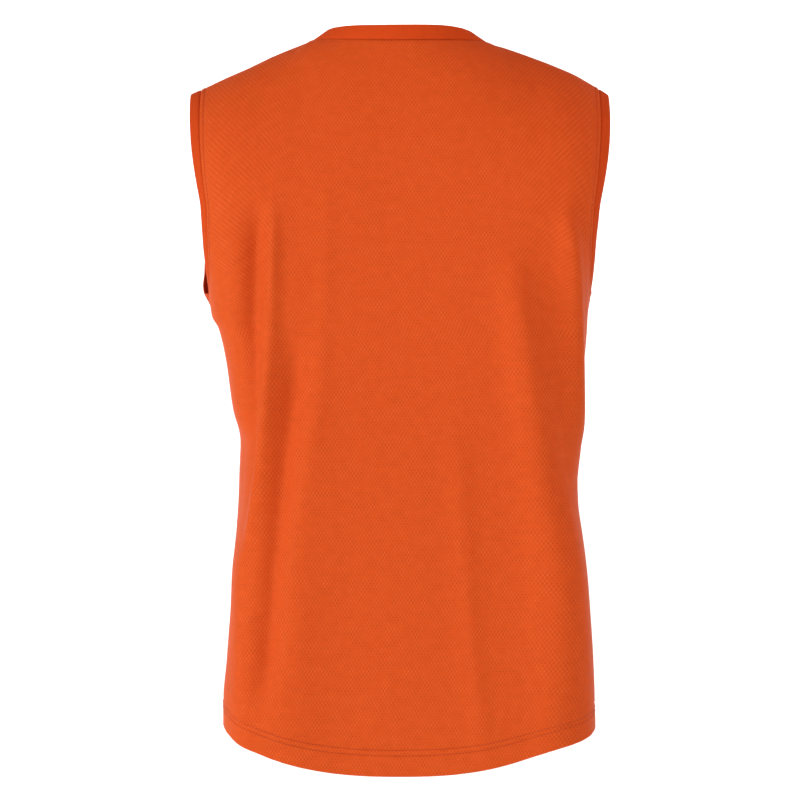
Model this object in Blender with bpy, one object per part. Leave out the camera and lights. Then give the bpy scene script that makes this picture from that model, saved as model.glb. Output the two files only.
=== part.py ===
"""Muscle tank top: an orange micro-mesh sports vest, filled out as if worn, with nothing inside it.

Frame: metres, +Z up. The garment's back faces -Y and its front +Y, so +X is the wearer's right.
The origin lies on the centre line, level with the high points of the two shoulders, where a wearer
holds the garment up. The side seams and the shoulder seams lie in the plane y = 0.

Each panel is one surface over two directions. Across it, u runs from -1 at the left edge to +1 at the
right edge. Up it, the rows are sections, named by their height at the panel's centre line, from the hem
to a yoke row at the shoulder blades. Above the yoke row each column is a cubic Bezier curve that ends on
the neck seam or on a shoulder seam. The wall is that surface and a copy of it moved in along its
normals, and the bands start from the panels' own edge points.
"""
import math

import bmesh
import bpy
import numpy as np

MM = 0.001

# ---------------------------------------------------------------- driving dimensions, millimetres
WALL = 1.5                 # knit panel
HEM_WALL = 2.4             # where the hem is turned up and lies double
HEM_DEPTH = 25.0           # height of the turned-up hem
HEM_STEP = 1.5             # length over which the wall thickens at the hem's upper edge
SEAM_GAP = 0.3             # pieces stand this far apart at their seams

NECK_HALF_WIDTH = 88.0     # neck seam, at the high shoulder points
NECK_BACK_DEPTH = 67.0     # neck seam behind the shoulder line
NECK_FRONT_DEPTH = 86.0    # neck seam in front of the shoulder line
NECK_BACK_HEIGHT = -6.0    # neck seam at the centre of the back
NECK_FRONT_HEIGHT = -84.0  # neck seam at the centre of the front
NECK_BACK_POWER = 2.0      # the higher, the longer the neck seam stays level with the shoulder points
NECK_FRONT_POWER = 1.3
NECK_BACK_RISE = math.radians(56.0)    # slope of the panels where they meet the neck seam
NECK_FRONT_RISE = math.radians(58.0)

NECKBAND_HEIGHT = 16.0
NECKBAND_WALL = 2.4
NECKBAND_LEAN = 12.0       # lean towards the neck at the centre of the back, degrees
NECKBAND_SIDE_LEAN = 47.0  # and how much more at the shoulder points
NECKBAND_FRONT_LEAN = 16.0     # and in front
ARMHOLE_BAND_WIDTH = 12.0
ARMHOLE_BAND_WALL = 2.2

SHOULDER_POINT = 0.5       # share of u at which the neck seam ends and the shoulder seam starts
SHOULDER_LEAN = math.radians(28.0)     # how far the column at the shoulder point leans to the neck
SLOPE_REACH = 1.2          # the shoulder's slope is read over this share of the neck's half width
ROUNDING = 0.18            # share of u over which the seam's corner is rounded off in the cloth below it
ROUNDING_SHARES = (-1.0, -0.67, -0.33, 0.0, 0.33, 0.67, 1.0)
YOKE_START = 2.0           # the yoke leaves its lowest row in the direction of this much panel below it

FLATNESS = 3.0             # 1 gives elliptical sections; higher is flatter in the middle, rounder beside
EVEN_POWER = 2.5           # how late a section that rises evenly does so on its way to the edge
CURL_POWER = 10.0          # the higher, the closer to the edge a section curls up

COLUMNS = 36               # faces across a panel; the shoulder points fall on a column
BODY_ROWS = 16             # faces up a panel between the hem and the armpit
YOKE_ROWS = 11
BAND_SMOOTHING = 3         # passes that even out the direction in which a band stands

# Shoulder seam, as height over distance from the centre line.
SHOULDER_COLUMNS = ("across", "left_height", "right_height")
SHOULDER = (
    (88.0, 1.5, -1.0),
    (102.0, -4.0, -5.0),
    (126.0, -14.0, -13.5),
    (150.0, -25.5, -22.5),
    (174.0, -36.0, -32.5),
    (190.0, -43.5, -41.5),
    (198.0, -47.0, -46.0),
)

# Sections, one row each, upwards from the hem. "centre" and "edge" are the heights of the section at
# the panel's centre line and at its edge; "curl" is 0 where the section rises evenly between them and 1
# where it stays level and curls up beside the edge, as rows must to run round the foot of the armhole.
# "left" and "right" are where the two edges stand; "bulge" is how far the centre stands from the
# shoulder line and "edge_bulge" how far the edges do.
SECTION_COLUMNS = ("centre", "edge", "curl", "left", "right", "bulge", "edge_bulge")
BACK_SECTIONS = (
    (-715.5, -674.5, 0.0, -175.0, 173.0, 123.0, 0.0),    # hem edge
    (-691.5, -654.0, 0.0, -175.0, 173.5, 123.0, 0.0),
    (-641.0, -613.0, 0.0, -171.5, 175.0, 122.0, 0.0),
    (-580.0, -563.0, 0.0, -167.5, 176.5, 120.0, 0.0),
    (-520.0, -511.0, 0.0, -165.0, 178.0, 118.0, 0.0),
    (-460.0, -456.0, 0.2, -161.0, 174.5, 116.0, 0.0),
    (-432.0, -427.0, 0.5, -160.0, 171.5, 115.0, 0.0),
    (-406.0, -399.0, 0.8, -159.0, 171.0, 114.0, 0.0),    # waist
    (-370.0, -360.0, 1.0, -166.5, 176.5, 113.0, 0.0),
    (-325.0, -311.0, 1.0, -172.5, 181.5, 113.0, 0.0),
    (-292.0, -274.0, 1.0, -180.5, 186.0, 114.0, 0.0),
    (-281.0, -262.0, 1.0, -187.0, 187.0, 114.5, 0.0),    # armpit
    (-271.0, -260.5, 1.0, -188.0, 187.5, 115.0, 22.0),
    (-261.0, -254.5, 1.0, -187.5, 187.0, 115.5, 44.0),
    (-249.0, -244.0, 1.0, -186.5, 186.5, 116.0, 62.0),
    (-234.0, -229.0, 1.0, -186.0, 186.0, 116.0, 75.0),
    (-215.0, -209.0, 1.0, -186.5, 186.0, 116.0, 83.0),
    (-195.0, -189.0, 1.0, -187.0, 187.0, 115.5, 87.0),
    (-175.0, -171.0, 1.0, -187.5, 188.0, 114.5, 88.5),
    (-157.0, -155.0, 1.0, -189.5, 190.0, 113.0, 88.5),   # yoke row
)
FRONT_SECTIONS = (
    (-700.0, -674.5, 0.0, -175.0, 173.0, 126.0, 0.0),    # hem edge
    (-676.5, -654.0, 0.0, -175.0, 173.5, 126.5, 0.0),
    (-628.0, -613.0, 0.0, -171.5, 175.0, 127.0, 0.0),
    (-572.0, -563.0, 0.0, -167.5, 176.5, 127.5, 0.0),
    (-516.0, -511.0, 0.0, -165.0, 178.0, 127.5, 0.0),
    (-460.0, -456.0, 0.2, -161.0, 174.5, 127.0, 0.0),
    (-432.0, -427.0, 0.5, -160.0, 171.5, 127.0, 0.0),
    (-406.0, -399.0, 0.8, -159.0, 171.0, 127.0, 0.0),    # waist
    (-370.0, -360.0, 1.0, -166.5, 176.5, 127.5, 0.0),
    (-325.0, -311.0, 1.0, -172.5, 181.5, 128.5, 0.0),
    (-292.0, -274.0, 1.0, -180.5, 186.0, 129.5, 0.0),
    (-281.0, -262.0, 1.0, -187.0, 187.0, 130.0, 0.0),    # armpit
    (-272.0, -260.5, 1.0, -191.5, 189.0, 130.0, 22.0),
    (-262.0, -254.5, 1.0, -195.5, 191.0, 129.5, 45.0),
    (-251.0, -244.0, 1.0, -198.0, 192.0, 128.5, 64.0),
    (-238.0, -229.0, 1.0, -198.0, 192.0, 127.0, 78.0),
    (-222.0, -209.0, 1.0, -196.0, 191.5, 125.0, 86.0),
    (-205.0, -189.0, 1.0, -193.5, 191.0, 122.5, 90.0),
    (-188.0, -171.0, 1.0, -191.5, 191.0, 119.5, 91.0),
    (-172.0, -155.0, 1.0, -191.0, 191.0, 116.5, 91.0),   # yoke row
)
ARMPIT_HEIGHT = -281.0     # the armpit's section, at the centre line

# Lengths of the two Bezier handles of the yoke's columns, at a share of the way from the centre line (0)
# over the high shoulder point (0.5) to the armhole (1).
YOKE_COLUMNS = ("share", "lower_handle", "upper_handle")
BACK_YOKE = (
    (0.0, 54.0, 48.0),
    (0.25, 62.0, 48.0),
    (0.5, 82.0, 50.0),
    (0.75, 76.0, 46.0),
    (1.0, 58.0, 30.0),
)
FRONT_YOKE = (
    (0.0, 30.0, 26.0),
    (0.25, 48.0, 36.0),
    (0.5, 88.0, 54.0),
    (0.75, 84.0, 52.0),
    (1.0, 60.0, 33.0),
)

# Folds: soft ridges (rise > 0) and troughs (rise < 0) that run down a panel. The four x values are the
# fold's place at even steps from its top to its foot; the fades are how long it takes to die away.
FOLD_COLUMNS = ("top", "foot", "x_top", "x_upper", "x_lower", "x_foot",
                "width_top", "width_foot", "rise", "fade_top", "fade_foot")
BACK_FOLDS = (
    (-150.0, -520.0, -122.0, -124.0, -134.0, -149.0, 7.5, 8.0, 7.0, 60.0, 110.0),
    (-150.0, -480.0, -135.0, -141.0, -145.0, -151.0, 13.0, 10.0, -10.0, 60.0, 120.0),
    (-270.0, -640.0, -97.0, -109.5, -122.0, -131.5, 13.0, 13.0, -12.0, 90.0, 60.0),
    (-290.0, -714.0, -72.0, -86.0, -101.0, -106.0, 20.0, 26.0, 3.0, 120.0, 60.0),
    (-480.0, -714.0, -158.0, -154.0, -151.0, -149.0, 9.0, 11.0, 3.5, 60.0, 30.0),
    (-190.0, -714.0, 101.0, 126.0, 149.0, 168.0, 15.0, 28.0, 12.0, 90.0, 30.0),
    (-420.0, -714.0, 148.0, 156.0, 163.0, 168.0, 24.0, 30.0, 9.5, 120.0, 30.0),
    (-160.0, -440.0, 159.0, 165.0, 168.0, 170.0, 10.0, 9.0, 10.5, 45.0, 90.0),
    (-350.0, -714.0, 51.0, 60.0, 68.0, 86.0, 12.0, 12.0, 2.8, 90.0, 110.0),
)
FRONT_FOLDS = (
    (-200.0, -560.0, -118.0, -128.0, -136.0, -148.0, 10.0, 13.0, 4.5, 70.0, 90.0),
    (-330.0, -700.0, -96.0, -108.0, -121.0, -131.0, 15.0, 17.0, -5.5, 90.0, 50.0),
    (-360.0, -700.0, -62.0, -72.0, -86.0, -98.0, 15.0, 20.0, 4.5, 90.0, 40.0),
    (-210.0, -700.0, 104.0, 118.0, 127.0, 138.0, 12.0, 20.0, 5.0, 80.0, 40.0),
    (-280.0, -640.0, 134.0, 146.0, 156.0, 166.0, 13.0, 13.0, -5.0, 80.0, 60.0),
    (-440.0, -700.0, 34.0, 44.0, 52.0, 58.0, 18.0, 22.0, 2.5, 90.0, 50.0),
    (-420.0, -700.0, 148.0, 156.0, 163.0, 168.0, 24.0, 28.0, 8.0, 120.0, 30.0),
)
FOLD_EDGE = 0.12           # share of u beside an edge over which folds die away
FOLD_FOOT = 0.35           # share of its strength that a fold keeps at its foot

# ---------------------------------------------------------------- finish, as linear colour
ORANGE = (0.70, 0.105, 0.018, 1.0)
BAND_ORANGE = (0.66, 0.090, 0.013, 1.0)
KNIT_ROUGHNESS = 0.85
SHARP_ANGLE = math.radians(50.0)

# ---------------------------------------------------------------- the two panels
BACK = {
    "facing": -1, "sections": BACK_SECTIONS, "handles": BACK_YOKE, "folds": BACK_FOLDS,
    "neck_depth": NECK_BACK_DEPTH, "neck_height": NECK_BACK_HEIGHT,
    "neck_power": NECK_BACK_POWER, "neck_rise": NECK_BACK_RISE,
}
FRONT = {
    "facing": 1, "sections": FRONT_SECTIONS, "handles": FRONT_YOKE, "folds": FRONT_FOLDS,
    "neck_depth": NECK_FRONT_DEPTH, "neck_height": NECK_FRONT_HEIGHT,
    "neck_power": NECK_FRONT_POWER, "neck_rise": NECK_FRONT_RISE,
}


# ---------------------------------------------------------------- curves and tables
def smooth(table, names, name, at):
    """Read one column of a table at any value of its first column, as a smooth monotone curve."""
    rows = np.array(table, dtype=float)
    x = rows[:, 0]
    y = rows[:, names.index(name)]
    step = np.diff(x)
    slope = np.diff(y) / step
    tangent = np.zeros_like(y)
    tangent[0] = slope[0]
    tangent[-1] = slope[-1]
    for i in range(1, len(x) - 1):
        if slope[i - 1] * slope[i] > 0.0:
            before = 2.0 * step[i] + step[i - 1]
            after = step[i] + 2.0 * step[i - 1]
            tangent[i] = (before + after) / (before / slope[i - 1] + after / slope[i])
    at = np.clip(np.asarray(at, dtype=float), x[0], x[-1])
    i = np.clip(np.searchsorted(x, at, side="right") - 1, 0, len(x) - 2)
    t = (at - x[i]) / step[i]
    start = (1.0 + 2.0 * t) * (1.0 - t) ** 2 * y[i] + t * (1.0 - t) ** 2 * step[i] * tangent[i]
    end = t ** 2 * (3.0 - 2.0 * t) * y[i + 1] + t ** 2 * (t - 1.0) * step[i] * tangent[i + 1]
    return start + end


def ease(t):
    """0 below 0, 1 above 1, and smooth between them."""
    t = np.clip(t, 0.0, 1.0)
    return t * t * (3.0 - 2.0 * t)


def unit(vectors):
    return vectors / np.linalg.norm(vectors, axis=-1, keepdims=True)


def stack(x, y, z):
    return np.stack(np.broadcast_arrays(x, y, z), axis=-1).astype(float)


# ---------------------------------------------------------------- the panels' surface
def section(panel, u, centre_height):
    """A point of a section. The panel's facing is -1 for the back and +1 for the front."""
    def column(name):
        return smooth(panel["sections"], SECTION_COLUMNS, name, centre_height)
    bulge = column("bulge")
    edge_share = np.maximum(column("edge_bulge"), SEAM_GAP / 2) / bulge
    edge_angle = np.arccos(1.0 - (1.0 - edge_share) ** (1.0 / FLATNESS))
    angle = u * edge_angle
    turned = np.sin(angle) / np.sin(edge_angle)
    middle = (column("left") + column("right")) / 2
    half = (column("right") - column("left")) / 2
    x = middle + half * turned
    y = panel["facing"] * bulge * (1.0 - (1.0 - np.cos(angle)) ** FLATNESS)
    curl = column("curl")
    rise = np.abs(turned) ** EVEN_POWER * (1.0 - curl) + np.abs(u) ** CURL_POWER * curl
    return stack(x, y, centre_height + (column("edge") - centre_height) * rise)


def shoulder_height(x):
    left = smooth(SHOULDER, SHOULDER_COLUMNS, "left_height", np.abs(x))
    right = smooth(SHOULDER, SHOULDER_COLUMNS, "right_height", np.abs(x))
    return np.where(x < 0.0, left, right)


def upper_seam(panel, u):
    """The panel's upper edge: the neck seam in the middle, and a shoulder seam on each side of it."""
    turn = np.clip(np.abs(u) / SHOULDER_POINT, 0.0, 1.0) * math.pi / 2
    outward = np.clip((np.abs(u) - SHOULDER_POINT) / (1.0 - SHOULDER_POINT), 0.0, 1.0)
    reach = SHOULDER[-1][0] - NECK_HALF_WIDTH
    x = np.sign(u) * (NECK_HALF_WIDTH * np.sin(turn) + reach * outward)
    y = panel["facing"] * np.maximum(panel["neck_depth"] * np.cos(turn), SEAM_GAP / 2)
    level = 0.5 + 0.5 * np.sin(turn) * np.sign(u)
    left_point = shoulder_height(-NECK_HALF_WIDTH)
    right_point = shoulder_height(NECK_HALF_WIDTH)
    between = left_point * (1.0 - level) + right_point * level
    neck = between + (panel["neck_height"] - between) * np.cos(turn) ** panel["neck_power"]
    return stack(x, y, np.where(outward > 0.0, shoulder_height(x), neck))


def rounded_seam(panel, u):
    """The upper seam with its corner at the high shoulder point rounded off, as the cloth below it lies."""
    reach = ROUNDING * np.exp(-((np.abs(u) - SHOULDER_POINT) / ROUNDING) ** 2)
    return sum(upper_seam(panel, u + reach * share) for share in ROUNDING_SHARES) / len(ROUNDING_SHARES)


def upper_direction(panel, u):
    """The direction in which a yoke column arrives at the upper seam."""
    facing = panel["facing"]
    rise = panel["neck_rise"]
    zero = 0.0 * u
    at_centre = stack(zero, -facing * math.cos(rise), math.sin(rise))
    side = np.where(u < 0.0, -1.0, 1.0)
    near = shoulder_height(NECK_HALF_WIDTH * side)
    far = shoulder_height(NECK_HALF_WIDTH * SLOPE_REACH * side)
    slope = (far - near) / (NECK_HALF_WIDTH * (SLOPE_REACH - 1.0))
    past_point = (np.abs(u) - SHOULDER_POINT) / (1.0 - SHOULDER_POINT)
    lean = (SHOULDER_LEAN * (1.0 - ease(past_point)))[..., None]
    inward = unit(stack(-side, zero, -slope))
    over = stack(zero, -facing, 0.0)
    at_shoulder = over * np.cos(lean) + inward * np.sin(lean)
    mix = ease(np.abs(u) / SHOULDER_POINT)[..., None]
    return unit(at_centre * (1.0 - mix) + at_shoulder * mix)


def yoke(panel, u, t):
    """A point of the yoke: t runs up a column from the yoke row (0) to the upper seam (1)."""
    row = panel["sections"][-1][0] + 0.0 * u
    start = section(panel, u, row)
    below = section(panel, u, row - YOKE_START)
    lower = smooth(panel["handles"], YOKE_COLUMNS, "lower_handle", np.abs(u))[..., None]
    upper = smooth(panel["handles"], YOKE_COLUMNS, "upper_handle", np.abs(u))[..., None]
    first = start + unit(start - below) * lower
    second = rounded_seam(panel, u) - upper_direction(panel, u) * upper
    end = upper_seam(panel, u)
    return ((1 - t) ** 3 * start + 3 * t * (1 - t) ** 2 * first
            + 3 * t ** 2 * (1 - t) * second + t ** 3 * end)


def fold_height(folds, x, z):
    """How far the folds move the cloth at a place, seen straight on."""
    total = np.zeros_like(x)
    for row in folds:
        f = dict(zip(FOLD_COLUMNS, row))
        along = np.clip((f["top"] - z) / (f["top"] - f["foot"]), 0.0, 1.0)
        stations = [(i / 3, f[name]) for i, name in enumerate(("x_top", "x_upper", "x_lower", "x_foot"))]
        middle = smooth(stations, ("along", "x"), "x", along)
        width = f["width_top"] + (f["width_foot"] - f["width_top"]) * along
        fade = ease((f["top"] - z) / f["fade_top"]) * ease((z - f["foot"]) / f["fade_foot"] + FOLD_FOOT)
        total = total + f["rise"] * fade * np.exp(-((x - middle) / width) ** 2)
    return total


def grid_normals(points, facing):
    """Unit normals of a grid of points, pointing out of the garment."""
    across = np.gradient(points, axis=1)
    up = np.gradient(points, axis=0)
    return unit(np.cross(across, up)) * -facing


def panel_grid(panel):
    """Outer points and normals of a panel, a row of points for each height, with its folds."""
    facing = panel["facing"]
    u = np.linspace(-1.0, 1.0, COLUMNS + 1)
    hem = panel["sections"][0][0]
    above_armpit = [row[0] for row in panel["sections"] if row[0] > ARMPIT_HEIGHT]
    hem_heights = [hem, hem + HEM_DEPTH / 2, hem + HEM_DEPTH]
    body_heights = list(np.linspace(hem + HEM_DEPTH + HEM_STEP, ARMPIT_HEIGHT, BODY_ROWS + 2))
    heights = np.array(hem_heights + body_heights + above_armpit)
    lower = [section(panel, u, height + 0.0 * u) for height in heights]
    upper = [yoke(panel, u, t) for t in np.linspace(0.0, 1.0, YOKE_ROWS + 1)[1:]]
    points = np.array(lower + upper)
    normals = grid_normals(points, facing)
    near_edge = ease((1.0 - np.abs(u)) / FOLD_EDGE)[None, :]
    rise = fold_height(panel["folds"], points[..., 0], points[..., 2]) * near_edge
    points = points + normals * rise[..., None]
    normals = grid_normals(points, facing)
    below_armpit = int(np.sum(heights <= ARMPIT_HEIGHT))
    for column in (0, -1):
        normals[:below_armpit, column] = seam_plane(normals[:below_armpit, column])
    shoulder = np.abs(u) >= SHOULDER_POINT
    normals[-1, shoulder] = seam_plane(normals[-1, shoulder])
    wall = np.full(len(points), WALL)
    wall[:len(hem_heights)] = HEM_WALL
    return {"outer": points, "normal": normals, "wall": wall, "armhole_from": below_armpit - 1}


def seam_plane(normals):
    """Side and shoulder seams lie in the plane y = 0, so the wall's edge faces do too."""
    flat = normals.copy()
    flat[:, 1] = 0.0
    return unit(flat)


# ---------------------------------------------------------------- meshes
def finish(name, colour):
    material = bpy.data.materials.new(name)
    material.use_nodes = True
    shader = material.node_tree.nodes["Principled BSDF"]
    shader.inputs["Base Color"].default_value = colour
    shader.inputs["Roughness"].default_value = KNIT_ROUGHNESS
    shader.inputs["Metallic"].default_value = 0.0
    return material


def add_object(name, points, faces, material):
    """A closed mesh object from millimetre points, its faces turned outwards and shaded smooth."""
    mesh = bpy.data.meshes.new(name)
    mesh.from_pydata([tuple(point) for point in np.asarray(points) * MM], [], faces)
    work = bmesh.new()
    work.from_mesh(mesh)
    bmesh.ops.recalc_face_normals(work, faces=work.faces)
    work.to_mesh(mesh)
    work.free()
    mesh.shade_smooth()
    mesh.set_sharp_from_angle(angle=SHARP_ANGLE)
    mesh.materials.append(material)
    obj = bpy.data.objects.new(name, mesh)
    bpy.context.scene.collection.objects.link(obj)


def add_panel(name, grid, material):
    """The wall between a grid and its copy moved in, closed round its four edges."""
    outer = grid["outer"]
    inner = outer - grid["normal"] * grid["wall"][:, None, None]
    rows, columns = outer.shape[:2]
    points = np.concatenate([outer.reshape(-1, 3), inner.reshape(-1, 3)])

    def index(side, row, column):
        return side * rows * columns + row * columns + column

    faces = []
    for r in range(rows - 1):
        for c in range(columns - 1):
            for side in (0, 1):
                faces.append((index(side, r, c), index(side, r, c + 1),
                              index(side, r + 1, c + 1), index(side, r + 1, c)))
    rim = [(0, c) for c in range(columns)]
    rim += [(r, columns - 1) for r in range(1, rows)]
    rim += [(rows - 1, c) for c in range(columns - 2, -1, -1)]
    rim += [(r, 0) for r in range(rows - 2, 0, -1)]
    for here, there in zip(rim, rim[1:] + rim[:1]):
        faces.append((index(0, *here), index(0, *there), index(1, *there), index(1, *here)))
    add_object(name, points, faces, material)


def band_profile(width, wall):
    """Section of a doubled strip: flat on its two faces, rounded where the cloth is folded."""
    return ((SEAM_GAP, 0.0), (width * 0.5, 0.1), (width - wall * 0.4, 0.0), (width, -wall / 2),
            (width - wall * 0.4, -wall), (width * 0.5, -wall), (SEAM_GAP, -wall))


def add_band(name, seam, normals, directions, profile, material):
    """A closed ring: the profile's (along, out) points are set up at each point of the seam."""
    along = np.array([p[0] for p in profile])[None, :, None]
    out = np.array([p[1] for p in profile])[None, :, None]
    points = seam[:, None, :] + directions[:, None, :] * along + normals[:, None, :] * out
    count, around = points.shape[:2]
    faces = []
    for i in range(count):
        j = (i + 1) % count
        for k in range(around):
            n = (k + 1) % around
            faces.append((i * around + k, j * around + k, j * around + n, i * around + n))
    add_object(name, points.reshape(-1, 3), faces, material)


def closed_tangents(points):
    return unit(np.roll(points, -1, axis=0) - np.roll(points, 1, axis=0))


def smooth_ring(vectors):
    """Evens out directions round a closed ring."""
    for _ in range(BAND_SMOOTHING):
        vectors = unit(vectors * 2.0 + np.roll(vectors, 1, axis=0) + np.roll(vectors, -1, axis=0))
    return vectors


def square_to(directions, normals):
    """Directions with whatever part of them runs along the normals taken out."""
    return unit(directions - normals * np.sum(directions * normals, axis=1, keepdims=True))


def armhole_ring(back, front, column):
    """The armhole seam: up the back panel's edge from the armpit, over, and down the front's."""
    rising = slice(back["armhole_from"], None)
    falling = slice(front["armhole_from"], None)
    up = back["outer"][rising, column]
    down = front["outer"][falling, column][::-1]
    up_normals = back["normal"][rising, column]
    down_normals = front["normal"][falling, column][::-1]
    seam = np.concatenate([up[:-1], [(up[-1] + down[0]) / 2], down[1:-1]])
    normals = np.concatenate([up_normals[:-1], [up_normals[-1] + down_normals[0]], down_normals[1:-1]])
    seam[0] = (up[0] + down[-1]) / 2
    normals[0] = up_normals[0] + down_normals[-1]
    return seam, unit(normals)


def add_armhole_band(name, back, front, column, material):
    """The band carries the panels' surface on into the armhole."""
    seam, normals = armhole_ring(back, front, column)
    directions = unit(np.cross(closed_tangents(seam), normals))
    if np.sum(directions * (seam.mean(axis=0) - seam)) < 0.0:
        directions = -directions
    directions = square_to(smooth_ring(directions), normals)
    add_band(name, seam, normals, directions, band_profile(ARMHOLE_BAND_WIDTH, ARMHOLE_BAND_WALL), material)


def neck_ring(back, front):
    """The neck seam: across the back from the left shoulder point, then back along the front."""
    quarter = int(round(COLUMNS / 2 * SHOULDER_POINT))
    middle = COLUMNS // 2
    inner = slice(middle - quarter, middle + quarter + 1)
    behind = back["outer"][-1, inner]
    before = front["outer"][-1, inner][::-1]
    return np.concatenate([[(behind[0] + before[-1]) / 2], behind[1:-1],
                           [(behind[-1] + before[0]) / 2], before[1:-1]])


def add_neckband(name, back, front, material):
    """The neckband leans towards the neck: little behind, most at the shoulder points."""
    seam = neck_ring(back, front)
    tangents = closed_tangents(seam)
    outward = unit(np.cross(tangents, np.array([0.0, 0.0, 1.0])))
    if np.sum(outward * (seam - seam.mean(axis=0))) < 0.0:
        outward = -outward
    side = np.clip(np.abs(seam[:, 0]) / NECK_HALF_WIDTH, 0.0, 1.0)
    in_front = np.clip(seam[:, 1] / NECK_FRONT_DEPTH, 0.0, 1.0)
    degrees = NECKBAND_LEAN + NECKBAND_SIDE_LEAN * side ** 3 + NECKBAND_FRONT_LEAN * in_front
    lean = np.radians(degrees)[:, None]
    upward = unit(np.cross(outward, tangents))
    upward = upward * np.sign(upward[:, 2:3])
    directions = smooth_ring(unit(upward * np.cos(lean) - outward * np.sin(lean)))
    normals = square_to(outward, directions)
    add_band(name, seam, normals, directions, band_profile(NECKBAND_HEIGHT, NECKBAND_WALL), material)


# ---------------------------------------------------------------- the garment
def clear_scene():
    for obj in list(bpy.data.objects):
        bpy.data.objects.remove(obj, do_unlink=True)


def build():
    knit = finish("orange_micro_mesh", ORANGE)
    jersey = finish("orange_doubled_jersey", BAND_ORANGE)
    back = panel_grid(BACK)
    front = panel_grid(FRONT)
    add_panel("back", back, knit)
    add_panel("front", front, knit)
    add_neckband("neckband", back, front, jersey)
    add_armhole_band("armhole_band_left", back, front, 0, jersey)
    add_armhole_band("armhole_band_right", back, front, -1, jersey)


clear_scene()
build()
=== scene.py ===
# %% [markdown]
# # A muscle tank top, sewn in Blender
#
# The real object is a sleeveless sports vest in orange micro-mesh knit. It is seen from behind, filled out
# as if worn, with nothing inside. Five pieces are cut and sewn: a back panel, a front panel, a neckband and
# two armhole bands. Each lesson below makes one piece or one finish, the way the garment maker would.
#
# The imported model is loaded first. It is a plain stand-in with thick walls, and it fixes where every piece
# goes. Its box is kept.

# %% Load the fixed frame
import math

import bpy
import numpy as np
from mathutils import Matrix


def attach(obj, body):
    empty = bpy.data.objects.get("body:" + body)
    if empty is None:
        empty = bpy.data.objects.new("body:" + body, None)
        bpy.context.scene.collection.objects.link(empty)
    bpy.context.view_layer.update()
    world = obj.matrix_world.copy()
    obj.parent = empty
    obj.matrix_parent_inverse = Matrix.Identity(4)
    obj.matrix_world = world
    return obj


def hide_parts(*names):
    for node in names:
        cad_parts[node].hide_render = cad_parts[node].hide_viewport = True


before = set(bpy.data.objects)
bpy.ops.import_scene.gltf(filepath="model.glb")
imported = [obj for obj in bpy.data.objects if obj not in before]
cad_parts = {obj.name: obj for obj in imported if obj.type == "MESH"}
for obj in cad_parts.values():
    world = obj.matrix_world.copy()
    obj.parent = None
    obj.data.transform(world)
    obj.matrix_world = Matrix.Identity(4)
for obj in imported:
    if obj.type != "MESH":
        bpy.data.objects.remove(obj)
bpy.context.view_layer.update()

MM = 0.001
print("pieces to dress:", sorted(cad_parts))

# %% [markdown]
# ## Colour
#
# A dyer's colour is easiest to write as the six-digit hex code that a picture editor shows. Blender's
# shaders calculate in linear light, where half as much light is half the number. One function turns the
# first into the second, and every colour below goes through it.

# %% Turn a hex colour to linear light
def linear(code):
    channels = [int(code[i:i + 2], 16) / 255 for i in (1, 3, 5)]
    return [c / 12.92 if c <= 0.04045 else ((c + 0.055) / 1.055) ** 2.4 for c in channels] + [1.0]


print("pure mid grey is", [round(c, 3) for c in linear("#808080")])

# %% [markdown]
# ## Camera
#
# The garment was photographed straight on, with the lens level with its middle. A long lens from 2.6 metres
# keeps the sides nearly parallel, and the hem still shows a little perspective, as in the photograph.
# The lens is worked out from the width that it has to take in at the garment: 0.8 metres.

# %% Set up the camera
CAMERA_DISTANCE = 2.6
CAMERA_HEIGHT = -0.357
WIDTH_IN_VIEW = 0.8
SENSOR = 36.0

camera_data = bpy.data.cameras.new("studio_camera")
camera_data.sensor_width = SENSOR
camera_data.lens = SENSOR * CAMERA_DISTANCE / WIDTH_IN_VIEW
camera = bpy.data.objects.new("studio_camera", camera_data)
camera.location = (0.0, -CAMERA_DISTANCE, CAMERA_HEIGHT)
camera.rotation_euler = (math.pi / 2, 0.0, 0.0)
bpy.context.scene.collection.objects.link(camera)
bpy.context.scene.camera = camera
print("lens", round(camera_data.lens, 1), "mm")

# %% [markdown]
# ## Adding nodes
#
# Every material below is a small graph of nodes. The first helper adds a node, sets its settings, and fills
# each input with a value or with a link from another node. The second starts a material: they all end in
# one Principled shader, whose sockets hold whatever is the same all over the surface.

# %% Two helpers for materials
def add(tree, kind, inputs=None, **settings):
    node = tree.nodes.new(kind)
    for name, value in settings.items():
        setattr(node, name, value)
    for key, value in (inputs or {}).items():
        if isinstance(value, bpy.types.NodeSocket):
            tree.links.new(value, node.inputs[key])
        else:
            node.inputs[key].default_value = value
    return node


def new_material(name, inputs):
    material = bpy.data.materials.new(name)
    material.use_nodes = True
    tree = material.node_tree
    tree.nodes.clear()
    shader = add(tree, "ShaderNodeBsdfPrincipled", inputs)
    add(tree, "ShaderNodeOutputMaterial", {"Surface": shader.outputs["BSDF"]})
    return material, tree, shader


print("ready to build materials")

# %% [markdown]
# ## Studio
#
# A product studio hangs the garment in front of a pale sweep: floor and wall in one, with no corner to catch
# a shadow. Here the sweep is a wide round dish, so that it looks the same from every side. Its profile is
# turned about the upright axis, as a potter would turn it.

# %% Turn the pale sweep
CENTRE_RADIUS = 0.02            # the floor's middle is one small flat face
FLOOR_HEIGHT = -2.0
FLOOR_RADIUS = 3.6
SWEEP_RADIUS = 1.6
WALL_TOP = 2.6
SWEEP_STEPS = 12
TURNS = 96


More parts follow.
